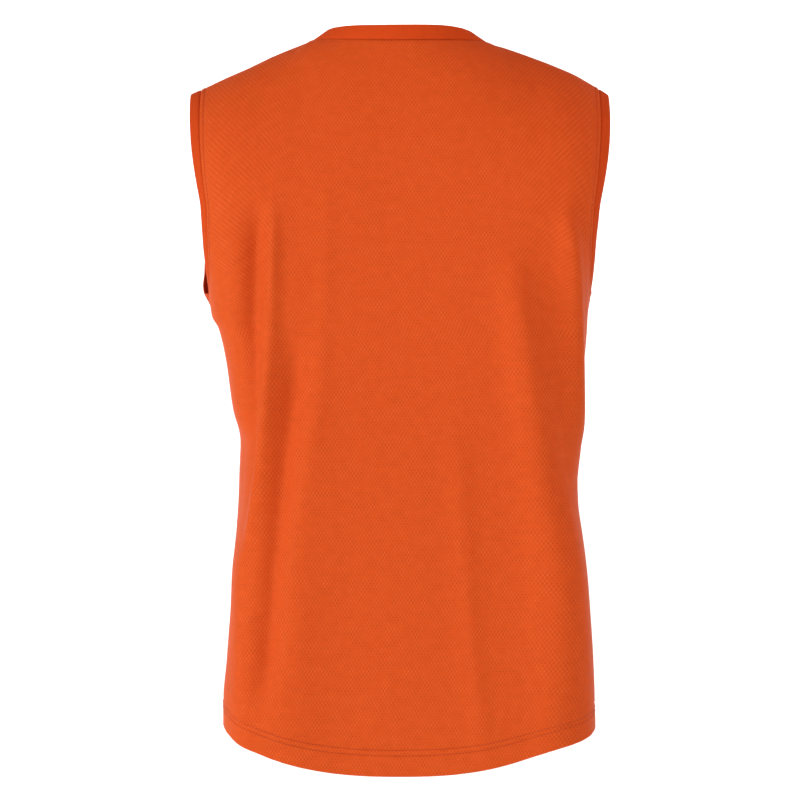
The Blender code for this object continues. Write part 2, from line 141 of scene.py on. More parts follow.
def turned_dish():
    profile = [(CENTRE_RADIUS, FLOOR_HEIGHT), (FLOOR_RADIUS, FLOOR_HEIGHT)]
    for i in range(1, SWEEP_STEPS + 1):
        angle = i / SWEEP_STEPS * math.pi / 2
        profile.append((FLOOR_RADIUS + SWEEP_RADIUS * math.sin(angle),
                        FLOOR_HEIGHT + SWEEP_RADIUS * (1.0 - math.cos(angle))))
    profile.append((FLOOR_RADIUS + SWEEP_RADIUS, WALL_TOP))
    points = [(r * math.cos(a), r * math.sin(a), z) for r, z in profile
              for a in np.linspace(0.0, 2.0 * math.pi, TURNS, endpoint=False)]
    faces = [(row * TURNS + i, row * TURNS + (i + 1) % TURNS,
              (row + 1) * TURNS + (i + 1) % TURNS, (row + 1) * TURNS + i)
             for row in range(len(profile) - 1) for i in range(TURNS)]
    faces.append(tuple(range(TURNS - 1, -1, -1)))
    mesh = bpy.data.meshes.new("studio_sweep")
    mesh.from_pydata(points, [], faces)
    mesh.shade_smooth()
    return mesh


sweep = bpy.data.objects.new("studio_sweep", turned_dish())
bpy.context.scene.collection.objects.link(sweep)
print("sweep faces:", len(sweep.data.polygons))

# %% [markdown]
# The sweep is painted with matte white emulsion. Emulsion has no gloss to speak of, only a faint
# unevenness from the roller, which the eye reads as a real wall rather than as empty space.

# %% Paint the sweep with matte emulsion
ROLLER_SWELLS = 2.0             # uneven patches per metre


def matte_emulsion():
    material, tree, shader = new_material("matte_white_emulsion", {"Roughness": 0.9, "Specular IOR Level": 0.2})
    place = add(tree, "ShaderNodeTexCoord").outputs["Object"]
    roller = add(tree, "ShaderNodeTexNoise", {"Vector": place, "Scale": ROLLER_SWELLS, "Detail": 3.0})
    tone = add(tree, "ShaderNodeMix", {"Factor": roller.outputs["Fac"], "A": linear("#F4F4F3"),
                                       "B": linear("#F8F8F7")}, data_type="RGBA")
    tree.links.new(tone.outputs["Result"], shader.inputs["Base Color"])
    return material


sweep.data.materials.append(matte_emulsion())
print("sweep painted")

# %% [markdown]
# ## Light
#
# The photograph's light is soft. Most of it comes from the left, so the left flank of each fold is bright and
# its right flank is darker. Large soft boxes give this. A strong one stands at the left, and a weak one at
# the right and one low in front keep the shadows open. A warm one above lights the shoulder tops, two behind
# light the far side, and the last is turned to the wall. Their size softens the folds' shadows, and each
# one's power is set so that the cloth comes out as bright as it is in the photograph. A pale sky fills
# whatever the boxes leave dark.

# %% Hang the soft boxes
SKY_STRENGTH = 0.30
GARMENT_MIDDLE = (0.0, 0.0, -0.36)
SOFT_BOXES = {
    #             place (metres)        size  watts  colour     aimed at
    "left_box":  ((-3.0, -1.8, -0.40),  1.8,  77.0,  "#FFFFFF", GARMENT_MIDDLE),
    "right_box": ((2.9, -1.7, -0.50),   2.2,  16.0,  "#FFFFFF", GARMENT_MIDDLE),
    "low_box":   ((0.0, -3.1, -0.9),    1.8,  5.0,   "#FFFFFF", GARMENT_MIDDLE),
    "top_box":   ((0.9, -1.6, 2.0),     1.8,  26.0,  "#FFC0A0", GARMENT_MIDDLE),
    "far_left":  ((-1.3, 3.0, -0.3),    2.2,  22.0,  "#FFFFFF", GARMENT_MIDDLE),
    "far_right": ((1.3, 3.0, -0.3),     2.2,  22.0,  "#FFFFFF", GARMENT_MIDDLE),
    "wall_box":  ((0.0, 3.4, 1.9),      2.2,  90.0,  "#FFFFFF", (0.0, 5.2, -0.6)),
}
bpy.context.scene.view_settings.view_transform = "Standard"
sky = bpy.data.worlds.new("studio_sky")
sky.use_nodes = True
sky.node_tree.nodes["Background"].inputs["Color"].default_value = linear("#FFFFFF")
sky.node_tree.nodes["Background"].inputs["Strength"].default_value = SKY_STRENGTH
bpy.context.scene.world = sky


def hang_box(name, place, size, watts, colour, target):
    light = bpy.data.lights.new(name, "AREA")
    light.shape = "SQUARE"
    light.size = size
    light.energy = watts
    light.color = linear(colour)[:3]
    box = bpy.data.objects.new(name, light)
    box.location = place
    towards = np.array(target) - np.array(place)
    across = math.atan2(towards[1], towards[0]) - math.pi / 2
    up = math.atan2(towards[2], math.hypot(towards[0], towards[1]))
    box.rotation_euler = (math.pi / 2 + up, 0.0, across)
    bpy.context.scene.collection.objects.link(box)


for name, box in SOFT_BOXES.items():
    hang_box(name, *box)
print("soft boxes:", list(SOFT_BOXES))

# %% [markdown]
# ## The form
#
# A garment on a body is not a flat pattern any more. Each panel is described by sections across it, from
# the hem up to the shoulder blades, and by curves that run from there over the shoulders. The numbers are
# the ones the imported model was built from, in millimetres, so the cloth lies exactly where the model is.
# Sections are read from the tables as a smooth curve that never overshoots.

# %% Read a table as a smooth curve
SHOULDER = {
    #          distance from the centre line, height of the left and of the right shoulder seam
    "across": (88.0, 102.0, 126.0, 150.0, 174.0, 190.0, 198.0),
    "left":   (1.5, -4.0, -14.0, -25.5, -36.0, -43.5, -47.0),
    "right":  (-1.0, -5.0, -13.5, -22.5, -32.5, -41.5, -46.0),
}


def smooth(x, y, at):
    """A smooth monotone curve through the points (x, y), read at any place."""
    x, y = np.asarray(x, float), np.asarray(y, float)
    step = np.diff(x)
    slope = np.diff(y) / step
    tangent = np.concatenate([slope[:1], np.zeros(len(x) - 2), slope[-1:]])
    for i in range(1, len(x) - 1):
        if slope[i - 1] * slope[i] > 0.0:
            before = 2.0 * step[i] + step[i - 1]
            after = step[i] + 2.0 * step[i - 1]
            tangent[i] = (before + after) / (before / slope[i - 1] + after / slope[i])
    at = np.clip(np.asarray(at, float), x[0], x[-1])
    i = np.clip(np.searchsorted(x, at, side="right") - 1, 0, len(x) - 2)
    t = (at - x[i]) / step[i]
    start = (1.0 + 2.0 * t) * (1.0 - t) ** 2 * y[i] + t * (1.0 - t) ** 2 * step[i] * tangent[i]
    end = t ** 2 * (3.0 - 2.0 * t) * y[i + 1] + t ** 2 * (t - 1.0) * step[i] * tangent[i + 1]
    return start + end


def shoulder_height(x):
    left = smooth(SHOULDER["across"], SHOULDER["left"], np.abs(x))
    right = smooth(SHOULDER["across"], SHOULDER["right"], np.abs(x))
    return np.where(x < 0.0, left, right)


print("shoulder seam at 150 mm:", shoulder_height(np.array([-150.0, 150.0])).round(1))

# %% [markdown]
# The two tables hold the body's shape. Each row is a section: its height at the panel's centre and at its
# edge, how much it curls up beside the edge, where its two edges stand, and how far its centre and its
# edges stand out from the shoulder line. The armhole starts where the edges move away from that line.

# %% The sections of the two panels
SECTION_COLUMNS = ("centre", "edge", "curl", "left", "right", "bulge", "edge_bulge")
BACK_SECTIONS = (
    (-715.5, -674.5, 0.0, -175.0, 173.0, 123.0, 0.0),
    (-691.5, -654.0, 0.0, -175.0, 173.5, 123.0, 0.0),
    (-641.0, -613.0, 0.0, -171.5, 175.0, 122.0, 0.0),
    (-580.0, -563.0, 0.0, -167.5, 176.5, 120.0, 0.0),
    (-520.0, -511.0, 0.0, -165.0, 178.0, 118.0, 0.0),
    (-460.0, -456.0, 0.2, -161.0, 174.5, 116.0, 0.0),
    (-432.0, -427.0, 0.5, -160.0, 171.5, 115.0, 0.0),
    (-406.0, -399.0, 0.8, -159.0, 171.0, 114.0, 0.0),
    (-370.0, -360.0, 1.0, -166.5, 176.5, 113.0, 0.0),
    (-325.0, -311.0, 1.0, -172.5, 181.5, 113.0, 0.0),
    (-292.0, -274.0, 1.0, -180.5, 186.0, 114.0, 0.0),
    (-281.0, -262.0, 1.0, -187.0, 187.0, 114.5, 0.0),
    (-271.0, -260.5, 1.0, -188.0, 187.5, 115.0, 22.0),
    (-261.0, -254.5, 1.0, -187.5, 187.0, 115.5, 44.0),
    (-249.0, -244.0, 1.0, -186.5, 186.5, 116.0, 62.0),
    (-234.0, -229.0, 1.0, -186.0, 186.0, 116.0, 75.0),
    (-215.0, -209.0, 1.0, -186.5, 186.0, 116.0, 83.0),
    (-195.0, -189.0, 1.0, -187.0, 187.0, 115.5, 87.0),
    (-175.0, -171.0, 1.0, -187.5, 188.0, 114.5, 88.5),
    (-157.0, -155.0, 1.0, -189.5, 190.0, 113.0, 88.5),
)
FRONT_SECTIONS = (
    (-700.0, -674.5, 0.0, -175.0, 173.0, 126.0, 0.0),
    (-676.5, -654.0, 0.0, -175.0, 173.5, 126.5, 0.0),
    (-628.0, -613.0, 0.0, -171.5, 175.0, 127.0, 0.0),
    (-572.0, -563.0, 0.0, -167.5, 176.5, 127.5, 0.0),
    (-516.0, -511.0, 0.0, -165.0, 178.0, 127.5, 0.0),
    (-460.0, -456.0, 0.2, -161.0, 174.5, 127.0, 0.0),
    (-432.0, -427.0, 0.5, -160.0, 171.5, 127.0, 0.0),
    (-406.0, -399.0, 0.8, -159.0, 171.0, 127.0, 0.0),
    (-370.0, -360.0, 1.0, -166.5, 176.5, 127.5, 0.0),
    (-325.0, -311.0, 1.0, -172.5, 181.5, 128.5, 0.0),
    (-292.0, -274.0, 1.0, -180.5, 186.0, 129.5, 0.0),
    (-281.0, -262.0, 1.0, -187.0, 187.0, 130.0, 0.0),
    (-272.0, -260.5, 1.0, -191.5, 189.0, 130.0, 22.0),
    (-262.0, -254.5, 1.0, -195.5, 191.0, 129.5, 45.0),
    (-251.0, -244.0, 1.0, -198.0, 192.0, 128.5, 64.0),
    (-238.0, -229.0, 1.0, -198.0, 192.0, 127.0, 78.0),
    (-222.0, -209.0, 1.0, -196.0, 191.5, 125.0, 86.0),
    (-205.0, -189.0, 1.0, -193.5, 191.0, 122.5, 90.0),
    (-188.0, -171.0, 1.0, -191.5, 191.0, 119.5, 91.0),
    (-172.0, -155.0, 1.0, -191.0, 191.0, 116.5, 91.0),
)
ARMPIT = -281.0
SEAM_GAP = 0.04                 # the solids stand 0.3 apart here; on the real seam the cloth meets
CURL_POWER = 10.0               # how close to the edge a curled row bends up
EVEN_POWER = 2.5                # how evenly the other rows bend
FLATNESS = 3.0                  # 1 gives elliptical sections; higher is flatter in the middle, rounder beside


def unit(vectors):
    return vectors / np.linalg.norm(vectors, axis=-1, keepdims=True)


def stack(x, y, z):
    return np.stack(np.broadcast_arrays(x, y, z), axis=-1).astype(float)


def section(sections, facing, u, centre_height):
    """A point of a section. u runs from -1 at the left edge to 1 at the right; facing is -1 at the back."""
    table = np.array(sections)

    def column(name):
        return smooth(table[:, 0], table[:, SECTION_COLUMNS.index(name)], centre_height)

    bulge = column("bulge")
    edge_share = np.maximum(column("edge_bulge"), SEAM_GAP / 2) / bulge
    edge_angle = np.arccos(1.0 - (1.0 - edge_share) ** (1.0 / FLATNESS))
    turned = np.sin(u * edge_angle) / np.sin(edge_angle)
    x = (column("left") + column("right")) / 2 + (column("right") - column("left")) / 2 * turned
    y = facing * bulge * (1.0 - (1.0 - np.cos(u * edge_angle)) ** FLATNESS)
    curl = column("curl")
    rise = np.abs(turned) ** EVEN_POWER * (1.0 - curl) + np.abs(u) ** CURL_POWER * curl
    return stack(x, y, centre_height + (column("edge") - centre_height) * rise)


waist = section(BACK_SECTIONS, -1, np.array([-1.0, 0.0, 1.0]), -406.0)
print("the back's waist, left, middle and right:", waist.round(0).tolist())

# %% [markdown]
# Above the shoulder blades the cloth runs over the shoulders to meet the other panel. Each column there is
# a Bezier curve, like the handles in Blender's own curve tool: it leaves the yoke row in the cloth's
# direction and arrives at the neck seam or the shoulder seam.

# %% The yokes and the seams they end on
NECK_HALF_WIDTH = 88.0
SHOULDER_POINT = 0.5            # share of u where the neck seam ends and the shoulder seam starts
POINT_TURN = math.radians(28.0)
SLOPE_REACH = 0.2               # share of the neck's half width over which the shoulder's slope is read
BELOW_YOKE = 2.0                # the cloth's direction at the yoke row is read this far below it
BACK = {
    "facing": -1, "sections": BACK_SECTIONS, "neck_depth": 67.0, "neck_height": -6.0, "neck_power": 2.0,
    "neck_rise": math.radians(56.0),
    "lower": (54.0, 62.0, 82.0, 76.0, 58.0), "upper": (48.0, 48.0, 50.0, 46.0, 30.0),
}
FRONT = {
    "facing": 1, "sections": FRONT_SECTIONS, "neck_depth": 86.0, "neck_height": -84.0, "neck_power": 1.3,
    "neck_rise": math.radians(58.0),
    "lower": (30.0, 48.0, 88.0, 84.0, 60.0), "upper": (26.0, 36.0, 54.0, 52.0, 33.0),
}
HANDLE_PLACES = (0.0, 0.25, 0.5, 0.75, 1.0)     # |u| where the lower and upper handles' lengths are given
ROUNDING = 0.18                 # share of u over which the seam's corner is rounded off below it
ROUNDING_SHARES = (-1.0, -0.67, -0.33, 0.0, 0.33, 0.67, 1.0)


def ease(t):
    t = np.clip(t, 0.0, 1.0)
    return t * t * (3.0 - 2.0 * t)


def upper_seam(panel, u):
    """The panel's upper edge: the neck seam in the middle and a shoulder seam on each side."""
    turn = np.clip(np.abs(u) / SHOULDER_POINT, 0.0, 1.0) * math.pi / 2
    outward = np.clip((np.abs(u) - SHOULDER_POINT) / (1.0 - SHOULDER_POINT), 0.0, 1.0)
    reach = SHOULDER["across"][-1] - NECK_HALF_WIDTH
    x = np.sign(u) * (NECK_HALF_WIDTH * np.sin(turn) + reach * outward)
    y = panel["facing"] * np.maximum(panel["neck_depth"] * np.cos(turn), SEAM_GAP / 2)
    level = 0.5 + 0.5 * np.sin(turn) * np.sign(u)
    ends = shoulder_height(np.array([-NECK_HALF_WIDTH, NECK_HALF_WIDTH]))
    mean = ends[0] * (1.0 - level) + ends[1] * level
    neck = mean + (panel["neck_height"] - mean) * np.cos(turn) ** panel["neck_power"]
    return stack(x, y, np.where(outward > 0.0, shoulder_height(x), neck))


def upper_direction(panel, u):
    """The direction in which the cloth arrives at its upper seam."""
    facing, rise, share = panel["facing"], panel["neck_rise"], np.abs(u)
    zero = 0.0 * u
    at_centre = stack(zero, -facing * math.cos(rise), math.sin(rise))
    side = np.where(u < 0.0, -1.0, 1.0)
    point = NECK_HALF_WIDTH * side
    further = point * (1.0 + SLOPE_REACH)
    slope = (shoulder_height(further) - shoulder_height(point)) / (NECK_HALF_WIDTH * SLOPE_REACH)
    lean = POINT_TURN * (1.0 - ease((share - SHOULDER_POINT) / (1.0 - SHOULDER_POINT)))[..., None]
    at_shoulder = stack(zero, -facing, 0.0) * np.cos(lean) + unit(stack(-side, zero, -slope)) * np.sin(lean)
    mix = ease(share / SHOULDER_POINT)[..., None]
    return unit(at_centre * (1.0 - mix) + at_shoulder * mix)


def rounded_seam(panel, u):
    """The upper seam with its corner at the high shoulder point rounded off, as the cloth below it lies."""
    reach = ROUNDING * np.exp(-((np.abs(u) - SHOULDER_POINT) / ROUNDING) ** 2)
    return sum(upper_seam(panel, u + reach * share) for share in ROUNDING_SHARES) / len(ROUNDING_SHARES)


def yoke(panel, u, t):
    """A point of the yoke. t runs from the yoke row (0) to the upper seam (1)."""
    row = panel["sections"][-1][0] + 0.0 * u
    start = section(panel["sections"], panel["facing"], u, row)
    below = section(panel["sections"], panel["facing"], u, row - BELOW_YOKE)
    first = start + unit(start - below) * smooth(HANDLE_PLACES, panel["lower"], np.abs(u))[..., None]
    end = upper_seam(panel, u)
    handle = upper_direction(panel, u) * smooth(HANDLE_PLACES, panel["upper"], np.abs(u))[..., None]
    second = rounded_seam(panel, u) - handle
    t = (t + 0.0 * u)[..., None]
    s = 1.0 - t
    return s ** 3 * start + 3.0 * t * s ** 2 * first + 3.0 * t ** 2 * s * second + t ** 3 * end


print("high shoulder point:", yoke(BACK, np.array([0.5]), 1.0).round(1).tolist())

# %% [markdown]
# ## Folds
#
# The cloth hangs from the shoulder blades and the armholes in long soft folds. The main ones were placed
# from the photograph, each as a ridge or a trough that runs down the panel along its own gentle curve.
# Cloth simulation could make folds too, but not these folds in these places. The first rows are the packed
# model's, and the narrower ones after them are creases that only the real cloth is thin enough to show.

# %% The table of folds
FOLD_COLUMNS = ("top", "foot", "x_top", "x_upper", "x_lower", "x_foot",
                "width_top", "width_foot", "rise", "fade_top", "fade_foot")
LEFT_AT_FOOT = 0.35             # how far a fold's fade at its foot has still to go where the fold ends
BACK["folds"] = (
    (-150.0, -520.0, -122.0, -124.0, -134.0, -149.0, 7.5, 8.0, 7.0, 60.0, 110.0),
    (-150.0, -480.0, -135.0, -141.0, -145.0, -151.0, 13.0, 10.0, -10.0, 60.0, 120.0),
    (-270.0, -640.0, -97.0, -109.5, -122.0, -131.5, 13.0, 13.0, -12.0, 90.0, 60.0),
    (-290.0, -714.0, -72.0, -86.0, -101.0, -106.0, 20.0, 26.0, 3.0, 120.0, 60.0),
    (-480.0, -714.0, -158.0, -154.0, -151.0, -149.0, 9.0, 11.0, 3.5, 60.0, 30.0),
    (-190.0, -714.0, 101.0, 126.0, 149.0, 168.0, 15.0, 28.0, 12.0, 90.0, 30.0),
    (-420.0, -714.0, 148.0, 156.0, 163.0, 168.0, 24.0, 30.0, 9.5, 120.0, 30.0),
    (-160.0, -440.0, 159.0, 165.0, 168.0, 170.0, 10.0, 9.0, 10.5, 45.0, 90.0),
    (-350.0, -714.0, 51.0, 60.0, 68.0, 86.0, 12.0, 12.0, 2.8, 90.0, 110.0),
)
FRONT["folds"] = (
    (-200.0, -560.0, -118.0, -128.0, -136.0, -148.0, 10.0, 13.0, 4.5, 70.0, 90.0),
    (-330.0, -700.0, -96.0, -108.0, -121.0, -131.0, 15.0, 17.0, -5.5, 90.0, 50.0),
    (-360.0, -700.0, -62.0, -72.0, -86.0, -98.0, 15.0, 20.0, 4.5, 90.0, 40.0),
    (-210.0, -700.0, 104.0, 118.0, 127.0, 138.0, 12.0, 20.0, 5.0, 80.0, 40.0),
    (-280.0, -640.0, 134.0, 146.0, 156.0, 166.0, 13.0, 13.0, -5.0, 80.0, 60.0),
    (-440.0, -700.0, 34.0, 44.0, 52.0, 58.0, 18.0, 22.0, 2.5, 90.0, 50.0),
    (-420.0, -700.0, 148.0, 156.0, 163.0, 168.0, 24.0, 28.0, 8.0, 120.0, 30.0),
)
BACK["creases"] = (
    (-170.0, -480.0, -127.0, -129.0, -134.0, -145.0, 3.5, 4.5, 0.9, 50.0, 90.0),
    (-120.0, -430.0, -71.0, -71.0, -75.0, -88.0, 8.0, 9.0, 1.6, 60.0, 80.0),
    (-230.0, -440.0, 96.0, 105.0, 114.0, 120.0, 4.5, 6.0, 0.8, 60.0, 80.0),
    (-470.0, -690.0, 122.0, 128.0, 136.0, 140.0, 6.0, 8.0, 0.8, 60.0, 60.0),
    (-180.0, -330.0, 181.0, 180.0, 180.0, 182.0, 4.0, 4.0, 0.8, 30.0, 35.0),
    (-355.0, -690.0, -84.0, -96.0, -110.0, -119.0, 5.0, 6.0, 0.7, 70.0, 60.0),
    (-445.0, -690.0, 57.0, 63.0, 70.0, 80.0, 5.0, 6.0, 0.5, 50.0, 60.0),
)
FRONT["creases"] = (
    (-220.0, -520.0, -121.0, -129.0, -136.0, -146.0, 4.0, 5.0, 0.8, 60.0, 90.0),
    (-380.0, -690.0, -64.0, -74.0, -87.0, -98.0, 5.0, 7.0, 0.6, 70.0, 60.0),
    (-240.0, -600.0, 107.0, 118.0, 126.0, 135.0, 4.0, 6.0, 0.8, 60.0, 80.0),
    (-240.0, -340.0, -168.0, -171.0, -174.0, -177.0, 4.0, 4.0, 0.7, 25.0, 35.0),
)


def fold_height(rows, x, z):
    """How far the folds of a table move the cloth at a place, seen straight on."""
    total = np.zeros_like(x)
    for row in rows:
        f = dict(zip(FOLD_COLUMNS, row))
        along = np.clip((f["top"] - z) / (f["top"] - f["foot"]), 0.0, 1.0)
        middle = smooth((0.0, 1 / 3, 2 / 3, 1.0), [f[n] for n in FOLD_COLUMNS[2:6]], along)
        width = f["width_top"] + (f["width_foot"] - f["width_top"]) * along
        fade = ease((f["top"] - z) / f["fade_top"]) * ease((z - f["foot"]) / f["fade_foot"] + LEFT_AT_FOOT)
        total += f["rise"] * fade * np.exp(-((x - middle) / width) ** 2)
    return total


print("folds on the back:", len(BACK["folds"]), "large and", len(BACK["creases"]), "fine")

# %% [markdown]
# No cloth is as smooth as a formula. Between the folds it drifts a little in and out, more along its length
# than across it. Random numbers on a coarse grid, blended smoothly, give that drift. The seed is fixed, so
# the garment comes out the same each time.

# %% Gentle unevenness
GRID = 64


def drift(across, up, across_step, up_step, seed):
    """Smooth random heights between -1 and 1. The steps say how wide and how long the swells are."""
    values = np.random.default_rng(seed).uniform(-1.0, 1.0, (GRID, GRID))
    a = np.asarray(across) / across_step + GRID / 2
    b = np.asarray(up) / up_step + GRID * 3 / 4
    i, j = np.floor(a).astype(int), np.floor(b).astype(int)
    s, t = ease(a - i), ease(b - j)
    i, j = i % (GRID - 1), j % (GRID - 1)
    low = values[i, j] * (1.0 - s) + values[i + 1, j] * s
    high = values[i, j + 1] * (1.0 - s) + values[i + 1, j + 1] * s
    return low * (1.0 - t) + high * t


print("drift at three places:", drift(np.array([0.0, 40.0, 80.0]), 0.0, 60.0, 150.0, 1).round(2))

# %% [markdown]
# ## Where the mesh needs detail
#
# A stitch line is a millimetre wide and a panel is half a metre. The mesh is therefore fine beside the
# seams and along the hem, and coarser elsewhere. Columns beside an edge keep the same distance from it all
# the way up, so that a stitch line can follow them.

# %% Lay out rows and columns
HEM_LINES = (19.2, 24.6)        # the two needles' lines, above the hem edge
TOPSTITCH = 4.9                 # line of stitches beside each armhole seam
HEM_ROWS = (0.0, 1.2, 3.0, 5.0, 7.5, 10.0, 12.5, 15.0, 17.0, 18.2, 18.8, 19.2, 19.6, 20.2, 21.3, 22.5, 23.6,
            24.2, 24.6, 25.0, 25.6, 26.8, 28.6, 31.0)           # heights above the hem edge
EDGE_COLUMNS = (0.0, 0.8, 1.6, 2.5, 3.5, 4.3, 4.9, 5.5, 6.4, 7.6, 9.2, 11.0)    # distances from an edge
OUTER_COLUMNS = 34              # faces between an edge and the shoulder point
INNER_COLUMNS = 72              # faces between the two shoulder points
BODY_ROWS = 124                 # from the hem's rows to the armpit
ARMHOLE_ROWS = 46               # from the armpit to the yoke
YOKE_ROWS = 54                  # from there to the first of the seam rows
SEAM_ROWS = (0.965, 0.976, 0.985, 0.9905, 0.9955, 1.0)          # shares of the yoke, beside its seam
SAMPLES = 401                   # points along a row from which distances are read


def row_places(panel):
    """Heights of the sections, and shares t of the yoke rows, from the hem up."""
    hem, top = panel["sections"][0][0], panel["sections"][-1][0]
    heights = np.concatenate([hem + np.array(HEM_ROWS),
                              np.linspace(hem + HEM_ROWS[-1], ARMPIT, BODY_ROWS + 1)[1:],
                              np.linspace(ARMPIT, top, ARMHOLE_ROWS + 1)[1:]])
    shares = np.concatenate([np.linspace(0.0, SEAM_ROWS[0], YOKE_ROWS + 1)[1:-1], SEAM_ROWS])
    return heights, shares


def surface(panel, heights, shares, u):
    """The smooth form: u holds one row of places for each height and for each share."""
    count = len(heights)
    below = section(panel["sections"], panel["facing"], u[:count], heights[:, None] + 0.0 * u[:count])
    return np.concatenate([below, yoke(panel, u[count:], shares[:, None])])


def lengths(points, axis):
    """Distance run along a grid, starting at 0 in the first row or column."""
    step = np.linalg.norm(np.diff(points, axis=axis), axis=-1)
    start = np.zeros_like(step.take([0], axis=axis))
    return np.concatenate([start, np.cumsum(step, axis=axis)], axis=axis)


def column_places(panel, heights, shares):
    """u for every vertex, spaced by distance along each row."""
    dense = np.linspace(-1.0, 1.0, SAMPLES)
    every_row = np.tile(dense, (len(heights) + len(shares), 1))
    edge = np.array(EDGE_COLUMNS)
    places = []
    for row in lengths(surface(panel, heights, shares, every_row), axis=1):
        left, right = np.interp((-SHOULDER_POINT, SHOULDER_POINT), dense, row)
        wanted = np.concatenate([edge, np.linspace(edge[-1], left, OUTER_COLUMNS + 1)[1:],
                                 np.linspace(left, right, INNER_COLUMNS + 1)[1:],
                                 np.linspace(right, row[-1] - edge[-1], OUTER_COLUMNS + 1)[1:],
                                 row[-1] - edge[-2::-1]])
        places.append(np.interp(wanted, row, dense))
    return np.array(places)


for panel in (BACK, FRONT):
    panel["heights"], panel["shares"] = row_places(panel)
    panel["u"] = column_places(panel, panel["heights"], panel["shares"])
print("grid of the back:", BACK["u"].shape)

# %% [markdown]
# ## Draping a panel
#
# The panel's grid is put on the form and moved along its normals: first the folds and creases, then what
# the sewing does. A seam pulls the cloth down into a small valley with a soft roll on each side of it. The
# needle lines of the hem press two fine grooves, and the cloth between and below them puckers a little.

# %% Drape the panels
FOLD_EDGE = 0.12                # share of u beside an edge over which folds die away
CALM_EDGE = 30.0                # distance from a seam over which the swells die away
CLOTH = 0.9                     # thickness of the knit
HEM_CLOTH = 1.9                 # the hem, turned up and double
HEM_DEPTH = 25.2
HEM_FADE = (26.0, 14.0)         # where the hem's puckers start to fade, and over what height
HEM_LEAN, HEM_SINK = 0.6, 0.15  # the needles drag the puckers aslant and press the hem in a little
# height, width and length of the swells in the cloth and of the hem's puckers
SWELLS = ((1.0, 55.0, 150.0), (0.22, 17.0, 42.0))
HEM_PUCKERS = (0.22, 6.0, 22.0)
# height at a side seam and at an armhole, width and length, and reach of the seams' puckers
SIDE_PUCKER, ARMHOLE_PUCKER, PUCKER_SIZE, PUCKER_REACH = 0.2, 0.12, (9.0, 30.0), 14.0
# distance from the seam, half width and rise of what a seam or a needle line presses into the cloth
SEAM_VALLEY, SIDE_ROLL, TOP_ROLL = (0.0, 0.8, -0.55), (5.5, 3.0, 0.25), (5.0, 3.0, 0.25)
ARMHOLE_LINE, ARMHOLE_ROLL = (TOPSTITCH, 0.8, -0.35), (2.6, 1.3, 0.25)
HEM_LINE = (0.8, -0.6)


def outward_normals(points, facing):
    across, up = np.gradient(points, axis=1), np.gradient(points, axis=0)
    return unit(np.cross(across, up)) * -facing


def pressed(distance, place, width, rise):
    return rise * np.exp(-((distance - place) / width) ** 2)


def drape(panel, seed):
    u, facing = panel["u"], panel["facing"]
    base = surface(panel, panel["heights"], panel["shares"], u)
    normals = outward_normals(base, facing)
    run, from_hem = lengths(base, axis=1), lengths(base, axis=0)
    from_edge = np.minimum(run, run[:, -1:] - run)
    from_top = from_hem[-1:] - from_hem
    across = run - run[:, run.shape[1] // 2][:, None]
    up = from_hem + base[0, :, 2]
    armhole = np.concatenate([panel["heights"] >= ARMPIT, np.ones(len(panel["shares"]), bool)])[:, None]

    folds = fold_height(panel["folds"] + panel["creases"], base[..., 0], base[..., 2])
    height = folds * ease((1.0 - np.abs(u)) / FOLD_EDGE)
    calm = ease(from_edge / CALM_EDGE) * ease(from_top / CALM_EDGE)
    for k, (rise, *size) in enumerate(SWELLS):
        height += calm * rise * drift(across, up, *size, seed + k)
    rise, *size = HEM_PUCKERS
    sewn_up = 1.0 - ease((from_hem - HEM_FADE[0]) / HEM_FADE[1])
    height += sewn_up * (rise * drift(across + HEM_LEAN * up, up, *size, seed + 2) - HEM_SINK)
    for line in HEM_LINES:
        height += pressed(from_hem, line, *HEM_LINE)
    pucker = np.where(armhole, ARMHOLE_PUCKER, SIDE_PUCKER) * (1.0 - ease(from_edge / PUCKER_REACH))
    height += pucker * drift(up, across, *PUCKER_SIZE, seed + 3)
    height += pressed(from_edge, *SEAM_VALLEY) + pressed(from_top, *SEAM_VALLEY) + pressed(from_top, *TOP_ROLL)
    height += np.where(armhole, pressed(from_edge, *ARMHOLE_LINE) + pressed(from_edge, *ARMHOLE_ROLL),
                       pressed(from_edge, *SIDE_ROLL))

    points = base + normals * height[..., None]
    panel.update(points=points, normals=outward_normals(points, facing), across=across, up=up,
                 seam=base, seam_normals=normals, armhole=armhole[:, 0],
                 wall=np.where(from_hem <= HEM_DEPTH, HEM_CLOTH, CLOTH))


drape(BACK, 11)
drape(FRONT, 23)
print("back panel: girth at the hem", round(float(BACK["across"][0, -1] - BACK["across"][0, 0])), "mm")

# %% [markdown]
# ## From a grid to cloth
#
# A grid has no thickness. The panel becomes a thin shell: its outer face, a copy moved inwards by the
# cloth's thickness, and a rim between the two. Blender's Solidify modifier does the same, but here the hem
# is double, so the distance changes from row to row. The hem's edge is a fold and not a cut, so it gets a
# few rows that go round it. The pattern's coordinates, in metres along and across the knit, are kept as a
# UV map for the materials.

# %% Make meshes from grids
SHARP_TURN = math.radians(55.0) # a steeper turn between two faces stays a crisp edge
FOOT_TURNS = (0.75, 0.5, 0.25)  # half turns of the rows that go round the hem's fold, from the inside


